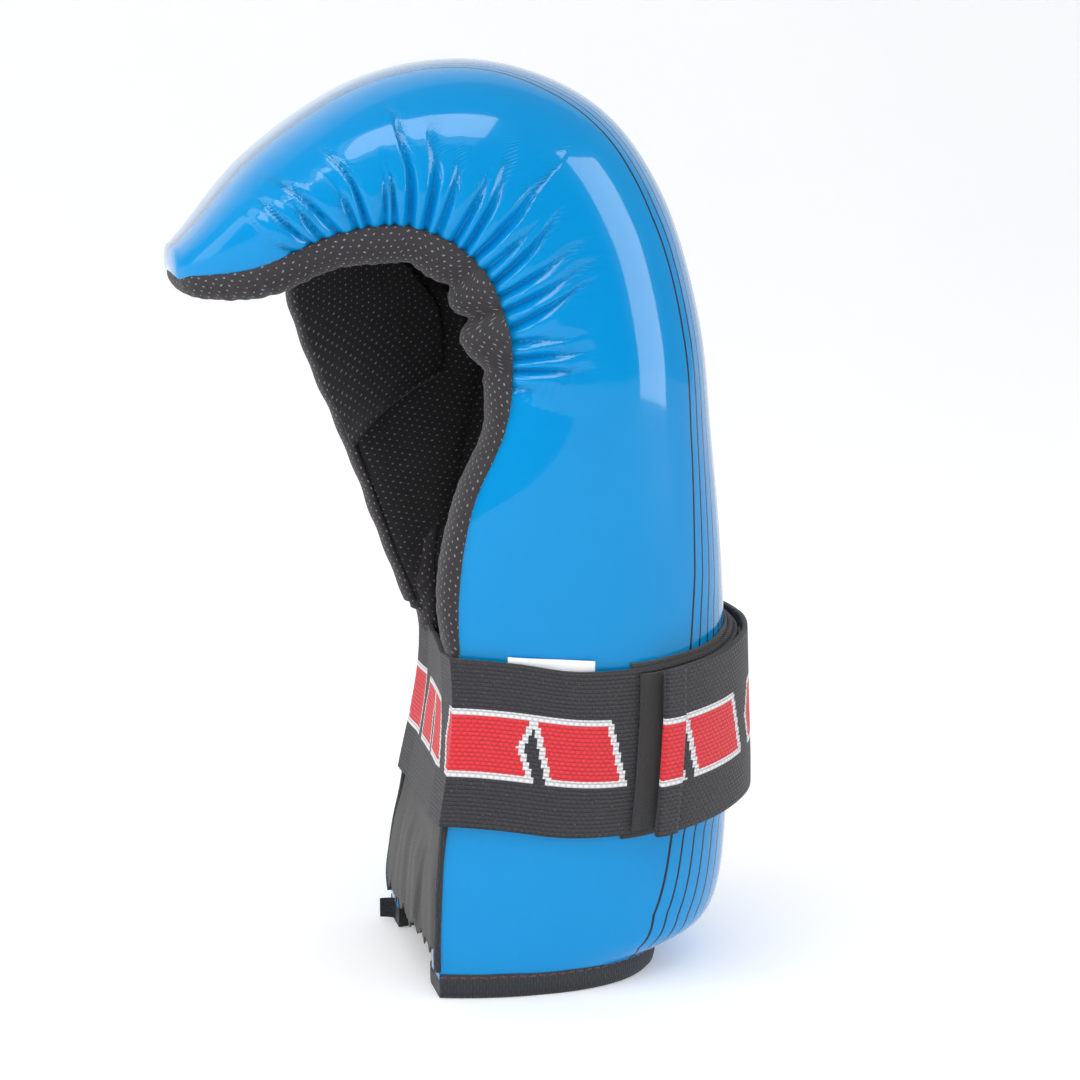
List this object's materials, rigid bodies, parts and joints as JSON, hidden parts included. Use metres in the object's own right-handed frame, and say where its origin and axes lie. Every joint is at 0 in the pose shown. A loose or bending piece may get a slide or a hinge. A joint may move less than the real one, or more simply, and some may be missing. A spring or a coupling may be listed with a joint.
{
  "type": "padded martial arts glove",
  "caption": "Padded open-palm glove for semi-contact martial arts with a curved finger hood, forearm cuff, flexing thumb guard and a hook-and-loop wrist strap.",
  "frame": {"origin": "centre of the footprint box, on the surface that the cuff's hem stands on", "axes": "+Z from the cuff up to the knuckles, +X towards the back of the hand, +Y towards the thumb side"},
  "size_m": [0.1843, 0.1152, 0.2803],
  "materials": {
    "coated_skin": "glossy smooth polyurethane-coated fabric, sky blue",
    "padding_foam": "soft closed-cell foam",
    "dotted_mesh": "black spacer mesh with small pale dots",
    "ribbed_ribbon": "black grosgrain ribbon",
    "stretch_cloth": "charcoal stretch knit",
    "strap_elastic": "ribbed woven elastic, black with a red and white woven pattern",
    "plain_elastic": "plain black woven elastic",
    "loop_tape": "fuzzy loop pile",
    "hook_tape": "moulded hooks",
    "label_satin": "plain white satin label"
  },
  "bodies": {
    "shell": {"outer_skin": "coated_skin", "near_side_foam": "padding_foam", "back_foam_pad": "padding_foam", "far_side_foam": "padding_foam", "fingertip_foam": "padding_foam", "hand_lining": "dotted_mesh", "near_edge_roll": "dotted_mesh", "far_edge_roll": "dotted_mesh", "fingertip_edge_roll": "dotted_mesh", "hem_binding": "ribbed_ribbon", "hem_tab": "ribbed_ribbon", "wrist_gusset": "stretch_cloth", "near_edge_binding": "ribbed_ribbon", "far_edge_binding": "ribbed_ribbon", "strap_anchor_patch": "stretch_cloth", "strap_band": "strap_elastic", "strap_loop_tape": "loop_tape", "blank_label": "label_satin", "finger_loop": "plain_elastic"},
    "thumb_guard": {"thumb_foam": "padding_foam", "thumb_skin": "coated_skin", "thumb_lining": "dotted_mesh", "thumb_edge_roll": "dotted_mesh", "thumb_pocket": "dotted_mesh"},
    "strap_tail_near_fold": {"strap_tail_base": "strap_elastic"},
    "strap_tail_end": {"strap_tail_tip": "strap_elastic", "strap_end_fold": "strap_elastic", "strap_hook_tape": "hook_tape"}
  },
  "joints": [
    {"name": "thumb_flex", "type": "hinge", "parent": "shell", "child": "thumb_guard", "pos_m": [-0.01, 0.045, 0.116], "axis": [0.1865, 0, 0.9824], "range_deg": [-20, 30], "stiffness_Nm_per_rad": 0.15},
    {"name": "strap_peel", "type": "hinge", "parent": "shell", "child": "strap_tail_near_fold", "pos_m": [0.0669, 0.05134, 0.08], "axis": [0, 0, 1], "range_deg": [0, 110]},
    {"name": "strap_end_peel", "type": "hinge", "parent": "strap_tail_near_fold", "child": "strap_tail_end", "pos_m": [0.09077, -0.00956, 0.08], "axis": [0, 0, 1], "range_deg": [0, 80]}
  ]
}
